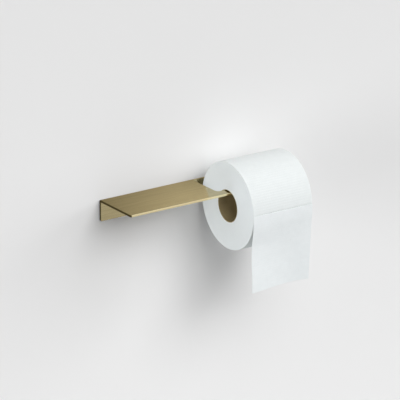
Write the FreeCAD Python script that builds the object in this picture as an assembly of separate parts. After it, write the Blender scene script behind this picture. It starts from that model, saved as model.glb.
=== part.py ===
import FreeCAD, Part
import math
import os

# A wall-mounted toilet paper holder. One sheet of brushed metal is cut and folded once,
# so that it is wall plate, shelf and roll arm together. Two countersunk screws in wall
# plugs hold it, and a roll of tissue hangs on the arm by its core.
#
# Millimetres. X runs along the wall, the wall is the plane Y = 0 with the room on the
# negative side, and Z is up. The origin is the centre of the wall plate's back face.

# Folded sheet
plate_height = 29.5  # from the shelf's top to the plate's lower edge
sheet_thickness = 3.0
shelf_length = 146.0  # the full-depth part, from the left end to the notch
arm_width = 14.5  # the strip that the notch leaves along the front edge
arm_past_roll = 17.6  # the arm reaches this far beyond the roll
notch_radius = 6.0  # where the shelf runs into the arm
relief_radius = 1.0  # where the notch meets the wall plate
corner_radius = 2.0  # free corners of the shelf, the arm and the plate
fold_outer_radius = 2.0
fold_inner_radius = 0.5
edge_radius = 0.5  # every cut edge is eased

# Screws
screw_inset = 40.0  # from each end of the wall plate to its screw
screw_diameter = 4.0
screw_length = 40.0
head_diameter = 7.6
head_set_below = 0.1  # the head sits this far below the plate's face
screw_point = 4.0  # length of the pointed end
hole_clearance = 0.25  # on the radius, round the shank in the plate
recess_width = 4.2  # the cross recess in the head
recess_slot = 0.9
recess_depth = 1.4

# Wall plugs
plug_diameter = 6.0
plug_length = 30.0
plug_set_below = 2.5  # the plug's mouth sits this far inside the wall, behind a tile's face
plug_slit = 1.0
plug_collar = 9.0  # unslit length at the mouth
plug_chamfer = 0.6

# Roll of tissue
roll_diameter = 120.0
roll_width = 94.4
core_bore = 43.5
core_wall = 0.7
outer_turn_thickness = 0.6
roll_from_shelf = 12.0  # gap between the notch's side edge and the roll
roll_from_plate = 4.75  # gap between the wall plate's face and the roll
running_gap = 0.3  # between the core and the arm, and between the roll and the loose sheet

# Loose sheet, torn at its lower edge and still joined along its upper perforation
tear_length = 107.8
tear_above_axis = 1.7  # the perforation lies a little above the roll's middle
tear_thickness = 1.0
tear_straight = 30.0  # hangs straight for this far before it leans to the wall
tear_lean = 6.0  # how far its lower edge leans to the wall
tear_bend_radius = 90.0

# Places worked out from the sizes. The arm reaches past the roll, and the wall plate
# ends where the arm ends. The shelf is deep enough to hold the roll clear of the plate.
holder_length = shelf_length + roll_from_shelf + roll_width + arm_past_roll
shelf_depth = sheet_thickness + roll_from_plate + roll_diameter / 2 + arm_width / 2
shelf_top = plate_height / 2
left_end = -holder_length / 2
right_end = holder_length / 2
notch_side = left_end + shelf_length
arm_rear = -(shelf_depth - arm_width)
shank_radius = screw_diameter / 2
bore_radius = core_bore / 2
core_radius = bore_radius + core_wall
roll_radius = roll_diameter / 2
roll_left = notch_side + roll_from_shelf
roll_axis_y = -(shelf_depth - arm_width / 2)
# The core hangs on the arm's two upper edges, which are rounded by edge_radius.
edge_reach = bore_radius - running_gap - edge_radius
roll_axis_z = shelf_top - edge_radius - math.sqrt(edge_reach**2 - (arm_width / 2 - edge_radius) ** 2)


def rounded_face(corners, place):
    """A flat face inside corners (u, v, radius), each corner turned by a tangent arc.
    place turns u and v into a point in space."""
    starts = []
    ends = []
    middles = []
    for index, (u, v, radius) in enumerate(corners):
        corner = place(u, v)
        back = place(*corners[index - 1][:2]) - corner
        ahead = place(*corners[(index + 1) % len(corners)][:2]) - corner
        half_angle = back.getAngle(ahead) / 2
        back.normalize()
        ahead.normalize()
        setback = radius / math.tan(half_angle)
        starts.append(corner + back * setback)
        ends.append(corner + ahead * setback)
        inward = back + ahead
        inward.normalize()
        middles.append(corner + inward * (radius / math.sin(half_angle) - radius))
    edges = []
    for index, (u, v, radius) in enumerate(corners):
        if radius > 0:
            edges.append(Part.Arc(starts[index], middles[index], ends[index]).toShape())
        following = starts[(index + 1) % len(corners)]
        edges.append(Part.LineSegment(ends[index], following).toShape())
    return Part.Face(Part.Wire(edges))


def along_x(corners, start, length):
    """A bar with the cross-section given by corners in Y and Z."""
    face = rounded_face(corners, lambda y, z: FreeCAD.Vector(start, y, z))
    return face.extrude(FreeCAD.Vector(length, 0, 0))


def seen_from_above(corners, low, high):
    """A plate with the outline given by corners in X and Y."""
    face = rounded_face(corners, lambda x, y: FreeCAD.Vector(x, y, low))
    return face.extrude(FreeCAD.Vector(0, 0, high - low))


def seen_from_front(corners, near, far):
    """A plate with the outline given by corners in X and Z."""
    face = rounded_face(corners, lambda x, z: FreeCAD.Vector(x, near, z))
    return face.extrude(FreeCAD.Vector(0, far - near, 0))


def turned(profile, x, z):
    """A piece turned about the line along Y through (x, z), from (radius, y) points."""
    points = [FreeCAD.Vector(x + radius, y, z) for radius, y in profile]
    face = Part.Face(Part.makePolygon(points + points[:1]))
    return face.revolve(FreeCAD.Vector(x, 0, z), FreeCAD.Vector(0, 1, 0), 360)


def ring(inner, outer, start, length):
    """A tube about the roll's axis."""
    centre = FreeCAD.Vector(start, roll_axis_y, roll_axis_z)
    direction = FreeCAD.Vector(1, 0, 0)
    tube = Part.makeCylinder(outer, length, centre, direction)
    return tube.cut(Part.makeCylinder(inner, length, centre, direction))


def sharp_edges(shape):
    """The edges where two faces meet at a real corner, not along a tangent."""
    found = []
    for edge in shape.Edges:
        sides = shape.ancestorsOfType(edge, Part.Face)
        middle = edge.valueAt((edge.FirstParameter + edge.LastParameter) / 2)
        normals = [side.normalAt(*side.Surface.parameter(middle)) for side in sides]
        angle = math.degrees(normals[0].getAngle(normals[-1]))
        if 40 < angle < 140:
            found.append(edge)
    return found


def folded_sheet():
    """The sheet after its fold, cut to the outline seen from above and from the front."""
    profile = [
        (0, -plate_height / 2, 0),
        (0, shelf_top, fold_outer_radius),
        (-shelf_depth, shelf_top, 0),
        (-shelf_depth, shelf_top - sheet_thickness, 0),
        (-sheet_thickness, shelf_top - sheet_thickness, fold_inner_radius),
        (-sheet_thickness, -plate_height / 2, 0),
    ]
    plan = [
        (left_end, 0, 0),
        (right_end, 0, 0),
        (right_end, -sheet_thickness, 0),
        (notch_side, -sheet_thickness, relief_radius),
        (notch_side, arm_rear, notch_radius),
        (right_end, arm_rear, corner_radius),
        (right_end, -shelf_depth, corner_radius),
        (left_end, -shelf_depth, corner_radius),
    ]
    front = [
        (left_end, -plate_height / 2, corner_radius),
        (right_end, -plate_height / 2, corner_radius),
        (right_end, shelf_top, 0),
        (left_end, shelf_top, 0),
    ]
    body = along_x(profile, left_end, holder_length)
    body = body.common(seen_from_above(plan, -plate_height / 2, shelf_top))
    body = body.common(seen_from_front(front, -shelf_depth, 0))
    body = body.removeSplitter()
    return body.makeFillet(edge_radius, sharp_edges(body))


def screw_hole(x):
    """A countersunk hole through the wall plate."""
    rim = -sheet_thickness + head_set_below
    head_radius = head_diameter / 2
    hole_radius = shank_radius + hole_clearance
    profile = [
        (0, -sheet_thickness - 1),
        (head_radius + head_set_below + 1, -sheet_thickness - 1),
        (hole_radius, rim + head_radius - hole_radius),
        (hole_radius, 1),
        (0, 1),
    ]
    return turned(profile, x, 0)


def bracket():
    body = folded_sheet()
    for x in screw_places.values():
        body = body.cut(screw_hole(x))
    return body


def screw(x):
    """A countersunk screw with a cross recess, its head seated in the plate."""
    rim = -sheet_thickness + head_set_below
    head_radius = head_diameter / 2
    tip = rim + screw_length
    profile = [
        (0, rim),
        (head_radius, rim),
        (shank_radius, rim + head_radius - shank_radius),
        (shank_radius, tip - screw_point),
        (0, tip),
    ]
    body = turned(profile, x, 0)
    for across, up in ((recess_width, recess_slot), (recess_slot, recess_width)):
        corner = FreeCAD.Vector(x - across / 2, rim, -up / 2)
        body = body.cut(Part.makeBox(across, recess_depth, up, corner))
    return body


def plug(x):
    """A nylon wall plug: a tube with an unslit collar and two legs that spread."""
    outer = plug_diameter / 2
    mouth = plug_set_below
    end = mouth + plug_length
    profile = [
        (shank_radius, mouth),
        (outer, mouth),
        (outer, end - plug_chamfer),
        (outer - plug_chamfer, end),
        (shank_radius, end),
    ]
    body = turned(profile, x, 0)
    corner = FreeCAD.Vector(x - plug_slit / 2, mouth + plug_collar, -plug_diameter)
    slit = Part.makeBox(plug_slit, plug_length, 2 * plug_diameter, corner)
    return body.cut(slit)


def loose_sheet():
    """One sheet of tissue, hanging from the roll's front and leaning to the wall below."""
    front = roll_axis_y - roll_radius - running_gap - tear_thickness
    top = roll_axis_z + tear_above_axis
    bend = top - tear_straight
    bottom = top - tear_length
    profile = [
        (front, top, 0),
        (front, bend, tear_bend_radius),
        (front + tear_lean, bottom, 0),
        (front + tear_lean + tear_thickness, bottom, 0),
        (front + tear_thickness, bend, tear_bend_radius),
        (front + tear_thickness, top, 0),
    ]
    return along_x(profile, roll_left, roll_width)


screw_places = {"left": left_end + screw_inset, "right": right_end - screw_inset}
windings_radius = roll_radius - outer_turn_thickness

pieces = {"shelf_bracket": bracket()}
for side, place_x in screw_places.items():
    pieces["wall_screw_" + side] = screw(place_x)
    pieces["wall_plug_" + side] = plug(place_x)
pieces["roll_core"] = ring(bore_radius, core_radius, roll_left, roll_width)
pieces["paper_windings"] = ring(core_radius, windings_radius, roll_left, roll_width)
pieces["outer_turn"] = ring(windings_radius, roll_radius, roll_left, roll_width)
pieces["loose_sheet"] = loose_sheet()

os.makedirs("parts", exist_ok=True)
for name, shape in pieces.items():
    shape.exportStep("parts/" + name + ".step")
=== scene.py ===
import math

import bmesh
import bpy
import numpy as np
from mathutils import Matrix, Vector


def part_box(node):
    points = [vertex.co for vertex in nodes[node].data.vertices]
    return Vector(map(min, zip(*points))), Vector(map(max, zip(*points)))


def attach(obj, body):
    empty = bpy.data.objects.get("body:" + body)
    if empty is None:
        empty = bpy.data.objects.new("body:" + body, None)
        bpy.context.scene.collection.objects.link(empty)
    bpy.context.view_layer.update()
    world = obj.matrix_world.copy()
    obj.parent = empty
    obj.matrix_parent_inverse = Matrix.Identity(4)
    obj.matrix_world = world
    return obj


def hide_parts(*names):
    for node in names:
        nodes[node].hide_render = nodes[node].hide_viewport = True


# A wall-mounted toilet paper holder of brushed gold, with its fixings and a roll of tissue.
# Metres. X runs along the wall, the wall is the plane Y = 0 with the room on the negative
# side, and Z is up, as in the CAD frame that everything here is placed by.

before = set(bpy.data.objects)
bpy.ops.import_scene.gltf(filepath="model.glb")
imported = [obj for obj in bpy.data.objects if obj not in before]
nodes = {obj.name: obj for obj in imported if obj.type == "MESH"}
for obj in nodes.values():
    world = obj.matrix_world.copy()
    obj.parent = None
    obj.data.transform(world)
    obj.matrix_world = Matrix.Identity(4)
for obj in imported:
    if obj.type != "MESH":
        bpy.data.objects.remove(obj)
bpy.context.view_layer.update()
MM = 0.001

# --- Room -------------------------------------------------------------------------------
# The holder is screwed to a plain painted wall above a pale floor, both matt. Either can be
# seen through from behind, and the wall is open behind the plate, so that the back and the
# parts inside the wall can be looked at.

WALL_REACH = 6.0
BEHIND_PLATE = 1.0 * MM
FLOOR_LEVEL = -0.9
FLOOR_REACH = 0.9
WALL_PAINT = (0.80, 0.80, 0.80, 1)
FLOOR_PAINT = (0.62, 0.62, 0.62, 1)
# Painted reflection: the colour the metal mirrors in wall and floor, darker towards the left.
PAINTED_REFLECTION_EDGE = (-0.17, 0.0)
PAINTED_REFLECTION_DARK = (0.35, 0.32, 0.235, 1)
PAINTED_REFLECTION_LIGHT = (0.65, 0.60, 0.48, 1)


class Link:
    """An output socket of a node tree. Arithmetic with it adds Math nodes to that tree."""

    def __init__(self, tree, socket=None):
        self.tree = tree
        self.socket = socket

    def add(self, kind, settings, inputs, output=0):
        """Add a node. Its settings come first, then its sockets, each set or linked."""
        made = self.tree.nodes.new("ShaderNode" + kind)
        for name, value in settings.items():
            setattr(made, name, value)
        for name, value in inputs.items():
            if isinstance(value, Link):
                self.tree.links.new(value.socket, made.inputs[name])
            else:
                made.inputs[name].default_value = value
        return Link(self.tree, made.outputs[output])

    def finish(self, kind, surface):
        """The output node of the tree, Material or World."""
        made = self.tree.nodes.new("ShaderNodeOutput" + kind)
        self.tree.links.new(surface.socket, made.inputs["Surface"])

    def other(self, output):
        """Another output of this link's node."""
        return Link(self.tree, self.socket.node.outputs[output])

    def calculate(self, operation, *terms):
        """A Math node on this link and further terms."""
        return self.add("Math", {"operation": operation}, dict(enumerate((self, *terms))))

    def __add__(self, term):
        return self.calculate("ADD", term)

    def __radd__(self, term):
        return self.calculate("ADD", term)

    def __sub__(self, term):
        return self.calculate("SUBTRACT", term)

    def __rsub__(self, term):
        return self * -1 + term

    def __mul__(self, term):
        return self.calculate("MULTIPLY", term)

    def __rmul__(self, term):
        return self.calculate("MULTIPLY", term)

    def scaled(self, factors):
        """This vector times three factors."""
        return self.add("VectorMath", {"operation": "MULTIPLY"}, {0: self, 1: factors})

    def noise(self, scale, detail=2.0):
        """Smooth noise from 0 to 1 at this place."""
        inputs = {"Vector": self, "Scale": scale, "Detail": detail}
        return self.add("TexNoise", {}, inputs)

    def rising(self, low, high):
        """0 below low and 1 above high, smooth in between."""
        inputs = {"Value": self, "From Min": low, "From Max": high}
        return self.add("MapRange", {"interpolation_type": "SMOOTHSTEP"}, inputs)

    def tint(self, low, high):
        """A colour between low and high."""
        return self.add("Mix", {"data_type": "RGBA"}, {0: self, 6: low, 7: high}, 2)


def new_material(name):
    """A material with no nodes yet, and the link that adds them."""
    material = bpy.data.materials.new(name)
    material.use_nodes = True
    material.node_tree.nodes.clear()
    return material, Link(material.node_tree)


def paint(name, colour):
    """Matt paint that is clear from behind. Glossy rays see it in a painted colour, darker and
    warmer than the paint and darker still towards the left: a painted reflection for the metal."""
    material, tree = new_material(name)
    place = tree.add("TexCoord", {}, {}, "Object")
    x = place.add("SeparateXYZ", {}, {"Vector": place}, "X")
    # Painted reflection, seen by glossy rays only.
    mirrored = x.rising(*PAINTED_REFLECTION_EDGE).tint(PAINTED_REFLECTION_DARK, PAINTED_REFLECTION_LIGHT)
    in_metal = tree.add("LightPath", {}, {}, "Is Glossy Ray")
    matt = tree.add("BsdfDiffuse", {}, {"Color": in_metal.tint(colour, mirrored)})
    clear = tree.add("BsdfTransparent", {}, {})
    behind = tree.add("NewGeometry", {}, {}, "Backfacing")
    surface = tree.add("MixShader", {}, {0: behind, 1: matt, 2: clear})
    tree.finish("Material", surface)
    return material


def backdrop(name, corners, faces, material):
    """A flat sheet of the room, its front to the room."""
    mesh = bpy.data.meshes.new(name)
    mesh.from_pydata(corners, [], faces)
    mesh.materials.append(material)
    piece = bpy.data.objects.new(name, mesh)
    bpy.context.scene.collection.objects.link(piece)


def rectangle(low_x, high_x, low_z, high_z):
    """The corners of an upright rectangle on the wall."""
    return [(low_x, 0, low_z), (high_x, 0, low_z), (high_x, 0, high_z), (low_x, 0, high_z)]


bracket_low, bracket_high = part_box("shelf_bracket")
backdrop(
    "wall",
    rectangle(-WALL_REACH, WALL_REACH, FLOOR_LEVEL, WALL_REACH)
    + rectangle(
        bracket_low.x + BEHIND_PLATE,
        bracket_high.x - BEHIND_PLATE,
        bracket_low.z + BEHIND_PLATE,
        bracket_high.z - BEHIND_PLATE,
    ),
    [(0, 1, 5, 4), (1, 2, 6, 5), (2, 3, 7, 6), (3, 0, 4, 7)],
    paint("wall_paint", WALL_PAINT),
)
backdrop(
    "floor",
    [
        (-FLOOR_REACH, -FLOOR_REACH, FLOOR_LEVEL),
        (FLOOR_REACH, -FLOOR_REACH, FLOOR_LEVEL),
        (FLOOR_REACH, 0, FLOOR_LEVEL),
        (-FLOOR_REACH, 0, FLOOR_LEVEL),
    ],
    [(0, 1, 2, 3)],
    paint("floor_paint", FLOOR_PAINT),
)

# --- Camera and light ---------------------------------------------------------------------
# The camera stands to the left of the holder and a little above it, far away with a long
# lens. Soft lamps stand high and low in front and low at the sides. The metal doesn't
# mirror them, but an even pale room that brightens upwards.

CAMERA_AIM = Vector((0.0005, -0.0358, -0.0021))
CAMERA_DISTANCE = 6.615
CAMERA_BEARING = -34.25
CAMERA_HEIGHT_ANGLE = 19.47
CAMERA_LENS = 450
LAMP_DISTANCE = 1.0
ROOM_LIGHT = 0.02
BACKDROP_SHADE = 0.78
MIRRORED_SHADE = 0.74
MIRRORED_SKY = 1.3
SKY_RISE = (0.1, 0.8)


def towards(bearing, height_angle):
    """The direction from the holder to a place in the room, bearing 0 straight out."""
    a = math.radians(bearing)
    e = math.radians(height_angle)
    return Vector((math.sin(a) * math.cos(e), -math.cos(a) * math.cos(e), math.sin(e)))


def looking_at(thing, aim, direction, distance):
    """Put a camera or lamp at a distance from aim, turned to face it."""
    thing.location = aim + direction * distance
    thing.rotation_euler = (-direction).to_track_quat("-Z", "Y").to_euler()
    bpy.context.scene.collection.objects.link(thing)


camera = bpy.data.objects.new("camera", bpy.data.cameras.new("camera"))
camera.data.lens = CAMERA_LENS
camera.data.clip_end = 4 * CAMERA_DISTANCE
looking_at(camera, CAMERA_AIM, towards(CAMERA_BEARING, CAMERA_HEIGHT_ANGLE), CAMERA_DISTANCE)
bpy.context.scene.camera = camera
bpy.context.scene.view_settings.view_transform = "Standard"


def soft_lamp(name, bearing, height_angle, spread, strength):
    """A wide lamp that shines evenly from one side of the room. No metal mirrors it."""
    lamp = bpy.data.objects.new(name, bpy.data.lights.new(name, "SUN"))
    lamp.data.angle = math.radians(spread)
    lamp.data.energy = strength
    lamp.visible_glossy = False
    looking_at(lamp, CAMERA_AIM, towards(bearing, height_angle), LAMP_DISTANCE)
    return lamp


soft_lamp("high_right", bearing=22, height_angle=37, spread=32, strength=1.07)
soft_lamp("high_left", bearing=-12, height_angle=41, spread=36, strength=0.74)
soft_lamp("low_front", bearing=9, height_angle=15, spread=38, strength=0.49)
soft_lamp("front", bearing=5, height_angle=20, spread=30, strength=0.28)
low_left = soft_lamp("low_left", bearing=-80, height_angle=2, spread=30, strength=1.70)
low_right = soft_lamp("low_right", bearing=69, height_angle=12, spread=34, strength=1.46)
end_fill = soft_lamp("end_fill", bearing=-80, height_angle=2, spread=30, strength=1.70)

world = bpy.data.worlds.new("room_light")
world.use_nodes = True
world.node_tree.nodes.clear()
room = Link(world.node_tree)
seen = room.add("LightPath", {}, {}, "Is Camera Ray")
bounced = seen.other("Diffuse Depth").calculate("MINIMUM", 1)
mirrored = seen.other("Is Glossy Ray") * (1 - bounced)
way = room.add("TexCoord", {}, {}, "Generated")
up = way.add("SeparateXYZ", {}, {"Vector": way}, "Z")
sky = up.rising(*SKY_RISE) * (MIRRORED_SKY - MIRRORED_SHADE) + MIRRORED_SHADE
shade = seen * BACKDROP_SHADE + mirrored * sky + ROOM_LIGHT
air = room.add("Background", {}, {"Strength": shade})
room.finish("World", air)
bpy.context.scene.world = world

# --- Folded sheet -------------------------------------------------------------------------
# Wall plate, shelf and arm are one 3 mm sheet, cut and folded once. It is brushed along its
# length and coated gold, and every cut edge is eased, so that it catches the light.

GOLD = (0.60, 0.508, 0.288, 1)
GOLD_DEEP = (0.495, 0.415, 0.225, 1)
# Painted highlight: the front edge takes a brighter gold than the faces.
GOLD_PAINTED_HIGHLIGHT = (0.99, 0.86, 0.54, 1)
# Painted dark reflection: faces turned along X, the cut ends, are painted near black.
GOLD_PAINTED_DARK_END = (0.16, 0.13, 0.065, 1)
GOLD_ROUGHNESS = 0.10
GOLD_ROUGHER = 0.06
BRUSH_LENGTH = 60 * MM
BRUSH_WIDTH = 0.30 * MM
BRUSH_BAND = 2.6 * MM
BRUSH_DEPTH = 0.022 * MM
BRUSH_CONTRAST = (0.35, 0.65)
HAIR_SHARE = 0.45
# Where the front edge turns smooth and takes its painted highlight.
POLISH_AND_HIGHLIGHT_FROM = 0.8 * MM
POLISH_AND_HIGHLIGHT_FULL = 0.5 * MM
# How far a face turns along X before it takes the painted dark reflection.
PAINTED_DARK_END_FACING = (0.1, 0.3)


def principled(tree, inputs):
    """The one surface shader of a material, and its output."""
    tree.finish("Material", tree.add("BsdfPrincipled", {}, inputs))


def brushed_gold():
    """Fine hairs and wider bands along the sheet, a smoother front edge with a painted
    highlight, and cut ends painted near black as a painted dark reflection.
    """
    material, tree = new_material("brushed_gold")
    place = tree.add("TexCoord", {}, {}, "Object")
    y = place.add("SeparateXYZ", {}, {"Vector": place}, "Y")
    faces = tree.add("NewGeometry", {}, {}, "Normal")
    facing_x = faces.add("SeparateXYZ", {}, {"Vector": faces}, "X").calculate("ABSOLUTE")
    hair = (1 / BRUSH_LENGTH, 1 / BRUSH_WIDTH, 1 / BRUSH_WIDTH)
    band = (1 / BRUSH_LENGTH, 1 / BRUSH_BAND, 1 / BRUSH_BAND)
    hairs = place.scaled(hair).noise(1.0, detail=3.0)
    bands = place.scaled(band).noise(1.0, detail=5.0)
    streak = (hairs * HAIR_SHARE + bands * (1 - HAIR_SHARE)).rising(*BRUSH_CONTRAST)
    reach = -bracket_low.y
    # The front edge is left smooth, and its brighter colour is a painted highlight.
    front_edge = (y * -1).rising(reach - POLISH_AND_HIGHLIGHT_FROM, reach - POLISH_AND_HIGHLIGHT_FULL)
    # Cut ends painted dark by which way they face: a painted dark reflection.
    painted_dark_end = facing_x.rising(*PAINTED_DARK_END_FACING)
    colour = streak.tint(GOLD_DEEP, GOLD)
    colour = front_edge.tint(colour, GOLD_PAINTED_HIGHLIGHT)
    colour = painted_dark_end.tint(colour, GOLD_PAINTED_DARK_END)
    grooves = hairs * (1 - front_edge)
    relief = tree.add("Bump", {}, {"Height": grooves, "Distance": BRUSH_DEPTH})
    principled(
        tree,
        {
            "Base Color": colour,
            "Metallic": 1.0,
            "Roughness": GOLD_ROUGHNESS + bands * GOLD_ROUGHER,
            "Normal": relief,
        },
    )
    return material


def refinish(node, material):
    """Give a CAD piece its real finish, leaving its shape alone."""
    piece = nodes[node]
    if not piece.material_slots:
        piece.data.materials.append(material)
    for material_slot in piece.material_slots:
        material_slot.material = material


refinish("shelf_bracket", brushed_gold())

# --- Wall plugs ---------------------------------------------------------------------------
# Two moulded nylon plugs sit in drilled holes. Each is a tube with a plain collar at its
# mouth and two toothed legs, which the screw spreads apart.

PLUG_NYLON = (0.52, 0.53, 0.52, 1)
PLUG_NYLON_DARK = (0.46, 0.47, 0.46, 1)
PLUG_ROUGHNESS = 0.42
PLUG_ROUGHER = 0.12
PLUG_CLOUDS = 400.0
PLUG_GRAIN = 4000.0
PLUG_GRAIN_DEPTH = 0.02 * MM
PLUG_SLIT = 1.0 * MM
PLUG_COLLAR = 9.0 * MM
PLUG_COLLAR_SLOPE = 1.0 * MM
PLUG_LIP = 0.3 * MM
PLUG_BORE = 2.0 * MM
PLUG_TOOTH_PITCH = 3.4 * MM
PLUG_TOOTH_DEPTH = 0.55 * MM
PLUG_TOOTH_ROUND = 0.1 * MM
PLUG_TOOTH_RISE = 0.8
PLUG_TOOTH_TIP = 0.9
PLUG_CHAMFER = 0.6 * MM
PLUG_SIDES = 48
MOULDED_CREASE = 30
WELDED_WITHIN = 1e-6
SLIVER = 1e-7


def skin(name, points, shift=0, closed_rows=True):
    """A mesh over a grid of points whose columns close on themselves. Where rows run on as
    a spiral, a row's last column joins the row that is shift further on."""
    rows, columns = points.shape[:2]
    grid = np.arange(rows * columns).reshape(rows, columns)
    ending = np.minimum(np.arange(rows) + shift, rows - 1)
    grid = np.hstack([grid, grid[ending, :1]])
    if closed_rows:
        grid = np.vstack([grid, grid[:1]])
    faces = np.stack([grid[:-1, :-1], grid[1:, :-1], grid[1:, 1:], grid[:-1, 1:]], axis=-1)
    mesh = bpy.data.meshes.new(name)
    mesh.from_pydata(points.reshape(-1, 3).tolist(), [], faces.reshape(-1, 4).tolist())
    return mesh


def finished(name, meshes, material, body, replaced, keep_sharp=None):
    """One piece from one or more meshes, joined where they meet, which stands for a CAD
    node and rides on its body."""
    joined = bmesh.new()
    for mesh in meshes:
        joined.from_mesh(mesh)
        bpy.data.meshes.remove(mesh)
    bmesh.ops.remove_doubles(joined, verts=joined.verts, dist=WELDED_WITHIN)
    bmesh.ops.dissolve_degenerate(joined, edges=joined.edges, dist=SLIVER)
    bmesh.ops.recalc_face_normals(joined, faces=joined.faces)
    for face in joined.faces:
        face.smooth = True
    if keep_sharp:
        for edge in joined.edges:
            if edge.is_manifold and edge.calc_face_angle() > math.radians(keep_sharp):
                edge.smooth = False
    shape = bpy.data.meshes.new(name)
    joined.to_mesh(shape)
    joined.free()
    shape.materials.append(material)
    piece = bpy.data.objects.new(name, shape)
    bpy.context.scene.collection.objects.link(piece)
    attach(piece, body)
    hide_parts(replaced)
    return piece


def round_y(profile, x, z, sides):
    """Rings about a line along Y through (x, z), from (radius, y) points."""
    angles = np.arange(sides) / sides * 2 * np.pi
    radius = np.array([r for r, _ in profile])[:, None]
    depth = np.array([y for _, y in profile])[:, None] + 0 * angles
    return np.stack([x + radius * np.cos(angles), depth, z + radius * np.sin(angles)], axis=-1)


def cut_away(piece, size, centre):
    """Cut a box out of a piece, and keep the result as its mesh."""
    cutter_mesh = bpy.data.meshes.new("cutter")
    box = bmesh.new()
    bmesh.ops.create_cube(box, size=1.0)
    bmesh.ops.scale(box, vec=size, verts=box.verts)
    bmesh.ops.translate(box, vec=centre, verts=box.verts)
    box.to_mesh(cutter_mesh)
    box.free()
    cutter = bpy.data.objects.new("cutter", cutter_mesh)
    bpy.context.scene.collection.objects.link(cutter)
    modifier = piece.modifiers.new("cut", "BOOLEAN")
    modifier.operation = "DIFFERENCE"
    modifier.solver = "EXACT"
    modifier.object = cutter
    evaluated = piece.evaluated_get(bpy.context.evaluated_depsgraph_get())
    shape = bpy.data.meshes.new_from_object(evaluated)
    piece.modifiers.clear()
    piece.data = shape
    bpy.data.objects.remove(cutter)


def plug_nylon():
    material, tree = new_material("plug_nylon")
    place = tree.add("TexCoord", {}, {}, "Object")
    clouds = place.noise(PLUG_CLOUDS)
    grain = place.noise(PLUG_GRAIN)
    relief = tree.add("Bump", {}, {"Height": grain, "Distance": PLUG_GRAIN_DEPTH})
    principled(
        tree,
        {
            "Base Color": clouds.tint(PLUG_NYLON_DARK, PLUG_NYLON),
            "Roughness": PLUG_ROUGHNESS + clouds * PLUG_ROUGHER,
            "Normal": relief,
        },
    )
    return material


def plug(side, material):
    """One plug: a collar, rows of teeth and a chamfered end, with the slit cut last."""
    low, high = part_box("wall_plug_" + side)
    x = (low.x + high.x) / 2
    z = (low.z + high.z) / 2
    radius = (high.z - low.z) / 2
    profile = [
        (PLUG_BORE, low.y),
        (radius - PLUG_LIP, low.y),
        (radius, low.y + PLUG_LIP),
        (radius, low.y + PLUG_COLLAR - PLUG_COLLAR_SLOPE),
    ]
    tooth = low.y + PLUG_COLLAR
    while tooth < high.y - PLUG_TOOTH_PITCH:
        profile += [
            (radius - PLUG_TOOTH_DEPTH, tooth),
            (radius - PLUG_TOOTH_ROUND, tooth + PLUG_TOOTH_RISE * PLUG_TOOTH_PITCH),
            (radius, tooth + PLUG_TOOTH_TIP * PLUG_TOOTH_PITCH),
            (radius - PLUG_TOOTH_ROUND, tooth + PLUG_TOOTH_PITCH),
        ]
        tooth += PLUG_TOOTH_PITCH
    profile += [(radius - PLUG_CHAMFER, high.y), (PLUG_BORE, high.y)]
    mesh = skin("plug", round_y(profile, x, z, PLUG_SIDES))
    piece = finished(
        "plug_" + side,
        [mesh],
        material,
        "bracket",
        "wall_plug_" + side,
        MOULDED_CREASE,
    )
    slit_length = high.y - low.y
    cut_away(
        piece,
        (PLUG_SLIT, slit_length, 4 * radius),
        (x, low.y + PLUG_COLLAR + slit_length / 2, z),
    )


plug_material = plug_nylon()
for side in ("left", "right"):
    plug(side, plug_material)

# --- Screws -------------------------------------------------------------------------------
# Two steel screws with countersunk heads and a cross recess hold the plate. A rolled thread
# runs from under the head's neck to the point.

SCREW_STEEL = (0.66, 0.66, 0.65, 1)
SCREW_STEEL_DARK = (0.50, 0.51, 0.53, 1)
SCREW_ROUGHNESS = 0.26
SCREW_ROUGHER = 0.18
SCREW_STAINS = 700.0
SCREW_GRAIN = 6000.0
SCREW_GRAIN_DEPTH = 0.012 * MM
SCREW_SHANK = 2.0 * MM
SCREW_ROOT = 1.45 * MM
SCREW_PITCH = 1.8 * MM
SCREW_NECK = 6.0 * MM
SCREW_NECK_TAPER = 0.6 * MM
SCREW_POINT = 4.0 * MM
SCREW_THREAD = (0.0, 0.15, 0.8, 1.0, 0.8, 0.15)
SCREW_HEAD_ROUND = 0.25 * MM
SCREW_HEAD_RIM = 0.2 * MM
SCREW_RECESS = 4.2 * MM
SCREW_SLOT = 0.9 * MM
SCREW_RECESS_DEPTH = 1.4 * MM
SCREW_SIDES = 36
TURNED_CREASE = 30


def zinc_steel():
    material, tree = new_material("screw_steel")
    place = tree.add("TexCoord", {}, {}, "Object")
    stains = place.noise(SCREW_STAINS, detail=4.0)
    grain = place.noise(SCREW_GRAIN)
    relief = tree.add("Bump", {}, {"Height": grain, "Distance": SCREW_GRAIN_DEPTH})
    principled(
        tree,
        {
            "Base Color": stains.tint(SCREW_STEEL_DARK, SCREW_STEEL),
            "Metallic": 1.0,
            "Roughness": SCREW_ROUGHNESS + stains * SCREW_ROUGHER,
            "Normal": relief,
        },
    )
    return material


def thread(x, z, start, tip):
    """The threaded part, its rows following the helix from the neck to the point."""
    per_turn = len(SCREW_THREAD)
    turns = math.ceil((tip - start) / SCREW_PITCH) + 1
    rows = np.arange(turns * per_turn + 1)[:, None]
    share = np.arange(SCREW_SIDES)[None, :] / SCREW_SIDES
    y = np.clip(start + (rows / per_turn + share - 1) * SCREW_PITCH, start, tip)
    taper = np.clip((tip - y) / SCREW_POINT, 0, 1)
    run_out = np.clip((y - start) / SCREW_PITCH, 0, 1) * np.minimum(1, taper * 2)
    ridge = np.array(SCREW_THREAD)[rows % per_turn]
    radius = SCREW_ROOT * taper + (SCREW_SHANK - SCREW_ROOT) * ridge * run_out * taper
    angle = share * 2 * np.pi
    points = np.stack([x + radius * np.cos(angle), y, z + radius * np.sin(angle)], axis=-1)
    return skin("thread", points, shift=per_turn, closed_rows=False)


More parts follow.
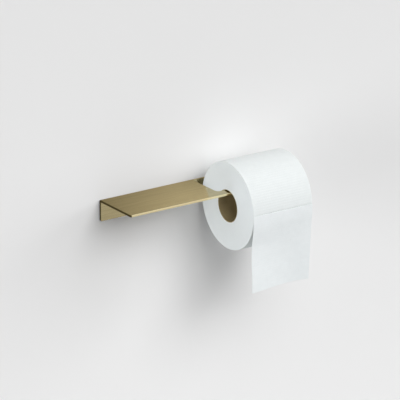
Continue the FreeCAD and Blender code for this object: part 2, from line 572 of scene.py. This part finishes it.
def screw(side, material):
    """One screw: a countersunk head, a plain neck and the thread, with the cross cut last."""
    low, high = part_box("wall_screw_" + side)
    x = (low.x + high.x) / 2
    z = (low.z + high.z) / 2
    head = (high.z - low.z) / 2
    cone = low.y + head - SCREW_SHANK
    start = cone + SCREW_NECK
    profile = [
        (0.0, low.y),
        (head - SCREW_HEAD_ROUND, low.y),
        (head, low.y + SCREW_HEAD_RIM),
        (SCREW_SHANK, cone + SCREW_HEAD_RIM),
        (SCREW_SHANK, start - SCREW_NECK_TAPER),
        (SCREW_ROOT, start),
    ]
    top = skin("head", round_y(profile, x, z, SCREW_SIDES), closed_rows=False)
    piece = finished(
        "screw_" + side,
        [top, thread(x, z, start, high.y)],
        material,
        "bracket",
        "wall_screw_" + side,
        TURNED_CREASE,
    )
    cutter_depth = 2 * SCREW_RECESS_DEPTH
    cut_away(piece, (SCREW_RECESS, cutter_depth, SCREW_SLOT), (x, low.y, z))
    cut_away(piece, (SCREW_SLOT, cutter_depth, SCREW_RECESS), (x, low.y, z))


screw_material = zinc_steel()
for side in ("left", "right"):
    screw(side, screw_material)

# --- Core ---------------------------------------------------------------------------------
# The core is a tube of brown board, wound from a strip whose edges leave one seam that runs
# round the tube as a helix. It is cut off square together with the paper.

CORE_BROWN = (0.52, 0.43, 0.25, 1)
CORE_BROWN_DARK = (0.42, 0.34, 0.185, 1)
CORE_ROUGHNESS = 0.82
CORE_ROUGHER = 0.1
CORE_CONTRAST = (0.3, 0.7)
CORE_CLOUDS = 90.0
FIBRE_SCALE = 2500.0
FIBRE_STRETCH = (0.25, 1.0, 1.0)
FIBRE_SHARE = 0.6
FIBRE_DEPTH = 0.08 * MM
CORE_WALL = 0.7 * MM
CORE_SEAM_DEPTH = 0.18 * MM
CORE_SEAM_LEAD = 150 * MM
CORE_SIDES = 120
CORE_STEPS = 48
CUT_CREASE = 40

roll_low, roll_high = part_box("outer_turn")
core_low, core_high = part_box("roll_core")
roll_radius = (roll_high.z - roll_low.z) / 2
core_radius = (core_high.z - core_low.z) / 2
axis_y = (roll_high.y + roll_low.y) / 2
axis_z = (roll_high.z + roll_low.z) / 2


def round_x(x, radius, angle):
    """Points about the roll's axis. Angle 0 points away from the wall, and rising angles go
    up over the top of the roll."""
    x, radius, angle = np.broadcast_arrays(x, radius, angle)
    return np.stack([x, axis_y - radius * np.cos(angle), axis_z + radius * np.sin(angle)], axis=-1)


def core_board():
    material, tree = new_material("core_board")
    place = tree.add("TexCoord", {}, {}, "Object")
    fibres = place.scaled(FIBRE_STRETCH).noise(FIBRE_SCALE, detail=3.0)
    clouds = place.noise(CORE_CLOUDS)
    shade = (fibres * FIBRE_SHARE + clouds * (1 - FIBRE_SHARE)).rising(*CORE_CONTRAST)
    relief = tree.add("Bump", {}, {"Height": fibres, "Distance": FIBRE_DEPTH})
    principled(
        tree,
        {
            "Base Color": shade.tint(CORE_BROWN_DARK, CORE_BROWN),
            "Roughness": CORE_ROUGHNESS + fibres * CORE_ROUGHER,
            "Normal": relief,
        },
    )
    return material


def core():
    """The tube's inside and outside, with one column of points sunk as the seam."""
    outer = core_radius
    inner = core_radius - CORE_WALL
    along = np.linspace(core_low.x, core_high.x, CORE_STEPS)
    x = np.concatenate([along, along[::-1]])
    radius = np.concatenate([np.full(CORE_STEPS, inner), np.full(CORE_STEPS, outer)])
    turns = np.arange(CORE_SIDES)[None, :] / CORE_SIDES + x[:, None] / CORE_SEAM_LEAD
    seam = (np.arange(CORE_SIDES)[None, :] == 0) * CORE_SEAM_DEPTH
    return skin("core", round_x(x[:, None], radius[:, None] + seam, turns * 2 * np.pi))


tube = finished(
    "core_tube", [core()], core_board(), "roll", "roll_core", CUT_CREASE
)


def linked(name, piece, state):
    """A group of one piece, which a lamp's light or its shade includes or excludes."""
    group = bpy.data.collections.new(name)
    group.objects.link(piece)
    group.collection_objects[0].light_linking.link_state = state
    return group


# A flag keeps the low right lamp out of the tube.
flagged = linked("flagged_from_right", tube, "EXCLUDE")
low_right.light_linking.receiver_collection = flagged

# --- Windings -----------------------------------------------------------------------------
# One long web of two-ply tissue is wound on the core from the inside out. Its edges make
# the two end faces, sawn flat and a little soft, with the turns just visible as fine rings.

EDGE_PAPER = (0.815, 0.86, 0.87, 1)
EDGE_PAPER_DARK = (0.785, 0.83, 0.84, 1)
EDGE_ROUGHNESS = 0.9
EDGE_ROUGHER = 0.08
EDGE_CONTRAST = (0.25, 0.75)
EDGE_CLOUDS = 60.0
LINT_SCALE = 3000.0
LINT_SHARE = 0.5
LINT_DEPTH = 0.05 * MM
WEB_THICKNESS = 0.45 * MM
TURN_RELIEF = 0.07 * MM
TURN_WANDER = 0.09 * MM
SLOW_WAVE = 0.61
WAVE = 1.7
FAST_WAVE = 4.3
FAST_WAVE_SHARE = 0.5
WINDING_SIDES = 160
SAWN_CREASE = 50

windings_low, windings_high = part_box("paper_windings")
winding_radius = (windings_high.z - windings_low.z) / 2


def tissue_edge():
    material, tree = new_material("tissue_windings")
    place = tree.add("TexCoord", {}, {}, "Object")
    clouds = place.noise(EDGE_CLOUDS)
    lint = place.noise(LINT_SCALE, detail=3.0)
    shade = (clouds * (1 - LINT_SHARE) + lint * LINT_SHARE).rising(*EDGE_CONTRAST)
    relief = tree.add("Bump", {}, {"Height": lint, "Distance": LINT_DEPTH})
    principled(
        tree,
        {
            "Base Color": shade.tint(EDGE_PAPER_DARK, EDGE_PAPER),
            "Roughness": EDGE_ROUGHNESS + clouds * EDGE_ROUGHER,
            "Normal": relief,
        },
    )
    return material


def windings():
    """Both end faces with rows that follow the spiral, and the two round walls. Three waves
    that never fall in step keep one turn from looking like the next."""
    turns = (winding_radius - core_radius) / WEB_THICKNESS
    rows = np.arange(2 * (math.ceil(turns) + 1) + 1)[:, None]
    share = np.arange(WINDING_SIDES)[None, :] / WINDING_SIDES
    turn = rows / 2 + share - 1
    radius = np.clip(core_radius + turn * WEB_THICKNESS, core_radius, winding_radius)
    edge = np.minimum(radius - core_radius, winding_radius - radius) / WEB_THICKNESS
    calm = np.clip(edge / 2, 0, 1)
    wander = np.sin(turn * WAVE) * np.sin(turn * SLOW_WAVE + 1)
    wander = wander + FAST_WAVE_SHARE * np.sin(turn * FAST_WAVE + 2)
    wander = wander / (1 + FAST_WAVE_SHARE)
    sunk = (rows % 2) * TURN_RELIEF + (1 + wander) * TURN_WANDER / 2
    sunk = sunk * calm
    angle = share * 2 * np.pi
    meshes = []
    for x, inward in ((roll_low.x, 1), (roll_high.x, -1)):
        points = round_x(x + inward * sunk, radius, angle)
        meshes.append(skin("end_face", points, shift=2, closed_rows=False))
    across = np.array([roll_low.x, roll_high.x])[:, None]
    for wall_radius in (core_radius, winding_radius):
        meshes.append(skin("wall", round_x(across, wall_radius, angle), closed_rows=False))
    return meshes


wound_paper = finished(
    "wound_paper",
    windings(),
    tissue_edge(),
    "roll",
    "paper_windings",
    SAWN_CREASE,
)

# The end faces are lit from the low left by a lamp of their own, which the shelf doesn't
# shade.
not_ends = linked("not_end", wound_paper, "EXCLUDE")
low_left.light_linking.receiver_collection = not_ends
ends_only = linked("end_only", wound_paper, "INCLUDE")
end_fill.light_linking.receiver_collection = ends_only
past_shelf = linked("shelf_clear", nodes["shelf_bracket"], "EXCLUDE")
end_fill.light_linking.blocker_collection = past_shelf

# --- Last turn ----------------------------------------------------------------------------
# The last turn shows the tissue's face: rows of small embossed dots across the web, and a
# line of perforations at every sheet.

# The last turn's tissue is painted a shade darker than the loose sheet of the same web: painted
# shade, with painted shade and light following the crepe as well.
SHADED_ROLL_TISSUE_DIM_AND_HOLLOW_SHADE = (0.755, 0.79, 0.79, 1)
SHADED_ROLL_TISSUE_BRIGHT_AND_TOP_LIGHT = (0.785, 0.82, 0.82, 1)
TISSUE_ROUGHNESS = 0.88
TISSUE_ROUGHER = 0.1
TISSUE_SHEEN = 0.1
TISSUE_CONTRAST = (0.25, 0.75)
TISSUE_CLOUDS = 130.0
CREPE_SCALE = 1600.0
CREPE_STRETCH = (1.0, 0.35, 0.35)
# The share of the colour that is painted shade and light following the crepe.
CREPE_SHADE_SHARE = 0.4
CREPE_DEPTH = 0.10 * MM
EMBOSS_ROWS = 109
EMBOSS_STEPS = 5
EMBOSS_SPACING = 3.0 * MM
EMBOSS_DEPTH = 0.12 * MM
DOT_SHARE = 0.25
SHEET_ROWS = 31
PERFORATION_DEPTH = 0.55 * MM
PERFORATION_PITCH = 5
PERFORATION_COLUMNS = 2
FACE_STEP = 0.75 * MM
OUTER_TURN_THICKNESS = 0.6 * MM
RIM_ROUND = 0.35 * MM

emboss_pitch = 2 * math.pi * roll_radius / EMBOSS_ROWS
sheet_low, sheet_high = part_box("loose_sheet")
tear_angle = math.asin((sheet_high.z - axis_z) / roll_radius)


def tissue_face(name, dim_and_hollow_shade, bright_and_top_light):
    """Creped tissue of a cloudy tone, with painted shade where the crepe sinks and painted
    light where it rises.
    """
    material, tree = new_material(name)
    place = tree.add("TexCoord", {}, {}, "Object")
    crepe = place.scaled(CREPE_STRETCH).noise(CREPE_SCALE, detail=3.0)
    clouds = place.noise(TISSUE_CLOUDS, detail=3.0)
    # The crepe's share paints shade where it sinks and light where it rises; the clouds are the
    # tissue's own tone.
    shade = (clouds * (1 - CREPE_SHADE_SHARE) + crepe * CREPE_SHADE_SHARE).rising(*TISSUE_CONTRAST)
    relief = tree.add("Bump", {}, {"Height": crepe, "Distance": CREPE_DEPTH})
    principled(
        tree,
        {
            "Base Color": shade.tint(dim_and_hollow_shade, bright_and_top_light),
            "Roughness": TISSUE_ROUGHNESS + crepe * TISSUE_ROUGHER,
            "Sheen Weight": TISSUE_SHEEN,
            "Normal": relief,
        },
    )
    return material


def embossed(web, across):
    """How deep the dots are pressed, at a length along the web and a place across it."""
    row = np.round(web / emboss_pitch)
    line = (1 + np.cos(2 * np.pi * web / emboss_pitch)) / 2
    staggered = across / EMBOSS_SPACING + (row % 2) / 2
    dots = 1 - DOT_SHARE + DOT_SHARE * np.cos(2 * np.pi * staggered)
    return line * dots * EMBOSS_DEPTH


def across_web():
    """Places across the web, from its left edge to its right."""
    steps = round((roll_high.x - roll_low.x) / FACE_STEP)
    return np.linspace(0, roll_high.x - roll_low.x, steps + 1)


def cut_here(places):
    """True where the perforating knife cut through, False at the ties between."""
    return places % PERFORATION_PITCH != 0


def last_turn():
    """The web once round the roll, its edges turned in a little, and its plain underside."""
    columns = EMBOSS_ROWS * EMBOSS_STEPS
    column = np.arange(columns)[None, :]
    across = across_web()
    web = (column + EMBOSS_STEPS / 2) / EMBOSS_STEPS * emboss_pitch
    sunk = embossed(web, across[:, None])
    at_line = column % (SHEET_ROWS * EMBOSS_STEPS) < PERFORATION_COLUMNS
    cuts = cut_here(np.arange(len(across)))[:, None]
    sunk = np.where(at_line & cuts, PERFORATION_DEPTH, sunk)
    inner = roll_radius - OUTER_TURN_THICKNESS
    sunk[0] = RIM_ROUND
    sunk[-1] = RIM_ROUND
    angle = tear_angle + column / columns * 2 * np.pi
    x = np.concatenate([across, across[::-1][[0, -1]]]) + roll_low.x
    radius = np.vstack([roll_radius - sunk, np.full((2, columns), inner)])
    x[1] = roll_low.x + RIM_ROUND
    x[len(across) - 2] = roll_high.x - RIM_ROUND
    return skin("last_turn", round_x(x[:, None], radius, angle))


finished(
    "last_turn",
    [last_turn()],
    tissue_face("tissue_outer", SHADED_ROLL_TISSUE_DIM_AND_HOLLOW_SHADE, SHADED_ROLL_TISSUE_BRIGHT_AND_TOP_LIGHT),
    "roll",
    "outer_turn",
)

# --- Loose sheet --------------------------------------------------------------------------
# One sheet of the same web hangs from its perforation at the roll's front. It keeps a
# little of the roll's curl, and its lower edge is torn along the next perforation.

# The loose sheet's tissue: its own cloudy tone, with painted shade and light following the crepe.
SHEET_TISSUE_DIM_AND_HOLLOW_SHADE = (0.79, 0.825, 0.835, 1)
SHEET_TISSUE_BRIGHT_AND_TOP_LIGHT = (0.825, 0.86, 0.87, 1)
SHEET_THICKNESS = 0.35 * MM
SHEET_GAP = 0.12 * MM
SHEET_PARTS_BY = 0.25
EMBOSS_KEPT = 0.5
TORN_TEETH = 0.6 * MM
TIE_TEETH = 0.2 * MM
WEB_EDGE_ROUND = 0.1 * MM
LEFT_LEAN = 4.2 * MM
LEFT_LEAN_FROM = 0.1
LEFT_LEAN_FULL = 0.45
LEFT_RETURN = 1.6 * MM
LEFT_RETURN_FROM = 0.55
LEFT_RETURN_FULL = 0.85
RIGHT_LEAN = 8.0 * MM
RIGHT_LEAN_FULL = 0.25
BELLY = 5.0 * MM
BELLY_TO_RIGHT = 1.5
TORN_CREASE = 45


def eased(share, low=0.0, high=1.0):
    """0 up to low and 1 from high, smooth in between."""
    share = np.clip((share - low) / (high - low), 0, 1)
    return share**2 * (3 - 2 * share)


def loose_sheet():
    """The sheet's front and back, joined round its edges. Its left side leans to the wall
    and back a little, its right side leans further, and a belly sinks in between."""
    across = across_web()
    width = across[-1]
    length = sheet_high.z - sheet_low.z
    steps = round(length / emboss_pitch * EMBOSS_STEPS)
    down = np.linspace(0, length, steps + 1)[:, None]
    u = across[None, :] / width
    fall = down / length
    left = LEFT_LEAN * eased(fall, LEFT_LEAN_FROM, LEFT_LEAN_FULL)
    left = left - LEFT_RETURN * eased(fall, LEFT_RETURN_FROM, LEFT_RETURN_FULL)
    right = RIGHT_LEAN * fall * eased(fall, 0, RIGHT_LEAN_FULL)
    belly = BELLY * np.sin(np.pi * u**BELLY_TO_RIGHT) * eased(fall)
    lean = left * (1 - u) + right * u + belly
    dots = embossed(down + emboss_pitch / 2, across[None, :]) * EMBOSS_KEPT
    front_y = axis_y - roll_radius - SHEET_GAP - SHEET_THICKNESS
    front = front_y + lean + dots
    back = front_y + lean + SHEET_THICKNESS + dots * eased(fall, 0, SHEET_PARTS_BY)
    middle = (front + back) / 2
    z = sheet_high.z - down + 0 * across
    x = roll_low.x + across[None, :] + 0 * down
    cut = cut_here(np.arange(len(across)))
    z[-1] += cut * TORN_TEETH
    z[0] -= cut * TIE_TEETH
    loop_y = np.hstack([middle[:, :1], front, middle[:, -1:], back[:, ::-1]])
    loop_x = np.hstack([x[:, :1], x, x[:, -1:], x[:, ::-1]])
    loop_z = np.hstack([z[:, :1], z, z[:, -1:], z[:, ::-1]])
    points = np.stack([loop_x, loop_y, loop_z], axis=-1)
    middle_loop = np.hstack([middle[:, :1], middle, middle[:, -1:], middle[:, ::-1]])
    upper_edge = points[:1].copy()
    upper_edge[..., 1] = middle_loop[:1]
    upper_edge[..., 2] += WEB_EDGE_ROUND
    lower_edge = points[-1:].copy()
    lower_edge[..., 1] = middle_loop[-1:]
    lower_edge[..., 2] -= WEB_EDGE_ROUND
    rows = np.concatenate([upper_edge, points, lower_edge])
    return skin("sheet", rows, closed_rows=False)


sheet = finished(
    "hanging_tissue",
    [loose_sheet()],
    tissue_face("tissue_loose", SHEET_TISSUE_DIM_AND_HOLLOW_SHADE, SHEET_TISSUE_BRIGHT_AND_TOP_LIGHT),
    "hanging_sheet",
    "loose_sheet",
    TORN_CREASE,
)
